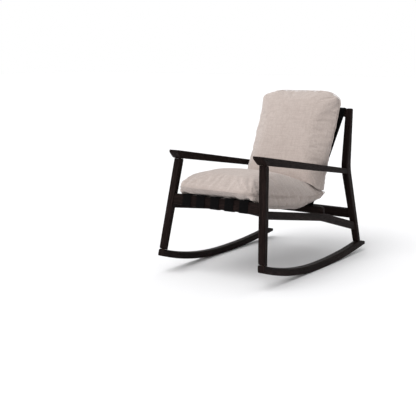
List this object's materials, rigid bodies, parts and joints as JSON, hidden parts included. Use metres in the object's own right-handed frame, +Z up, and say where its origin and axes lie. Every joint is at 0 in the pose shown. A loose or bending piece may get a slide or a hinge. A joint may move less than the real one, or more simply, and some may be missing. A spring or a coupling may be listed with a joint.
{
  "type": "rocking lounge chair",
  "caption": "Low lounge rocking chair with splayed wooden side frames on curved runners, a sling of webbing straps and loose seat and back cushions.",
  "frame": {"origin": "on the floor, at the middle of the chair's footprint", "axes": "+Z up, the sitter faces -Y, +X is the sitter's left"},
  "size_m": [0.6112, 1.012, 0.836],
  "materials": {
    "dark_wood": "satin",
    "webbing": "satin",
    "linen": "matte",
    "dowel_wood": "matte"
  },
  "bodies": {
    "frame": {"runner_left": "dark_wood", "front_leg_left": "dark_wood", "back_post_left": "dark_wood", "armrest_left": "dark_wood", "side_rail_left": "dark_wood", "runner_right": "dark_wood", "front_leg_right": "dark_wood", "back_post_right": "dark_wood", "armrest_right": "dark_wood", "side_rail_right": "dark_wood", "front_rail": "dark_wood", "cross_rail": "dark_wood", "rear_rail": "dark_wood", "crest_rail": "dark_wood", "seat_strap_1": "webbing", "back_strap_1": "webbing", "seat_strap_2": "webbing", "back_strap_2": "webbing", "seat_strap_3": "webbing", "back_strap_3": "webbing", "seat_strap_4": "webbing", "back_strap_4": "webbing", "seat_strap_5": "webbing", "back_strap_5": "webbing", "cross_batten": "dark_wood", "crest_batten": "dark_wood", "dowel_leg_runner_left": "dowel_wood", "dowel_leg_arm_left": "dowel_wood", "dowel_post_runner_left": "dowel_wood", "dowel_arm_post_left": "dowel_wood", "dowel_rail_leg_left": "dowel_wood", "dowel_rail_post_left": "dowel_wood", "dowel_cross_rail_left": "dowel_wood", "dowel_front_rail_left": "dowel_wood", "dowel_rear_rail_left": "dowel_wood", "dowel_crest_rail_left": "dowel_wood", "dowel_leg_runner_right": "dowel_wood", "dowel_leg_arm_right": "dowel_wood", "dowel_post_runner_right": "dowel_wood", "dowel_arm_post_right": "dowel_wood", "dowel_rail_leg_right": "dowel_wood", "dowel_rail_post_right": "dowel_wood", "dowel_cross_rail_right": "dowel_wood", "dowel_front_rail_right": "dowel_wood", "dowel_rear_rail_right": "dowel_wood", "dowel_crest_rail_right": "dowel_wood"},
    "seat_cushion": {"seat_cushion": "linen"},
    "back_cushion": {"back_cushion": "linen"}
  },
  "joints": [
    {"name": "seat_cushion_off", "type": "slide", "parent": "frame", "child": "seat_cushion", "axis": [0, -0.9855, 0.1695], "range_m": [0, 0.25]},
    {"name": "back_cushion_off", "type": "slide", "parent": "frame", "child": "back_cushion", "axis": [0, 0.4027, 0.9153], "range_m": [0, 0.3]}
  ]
}
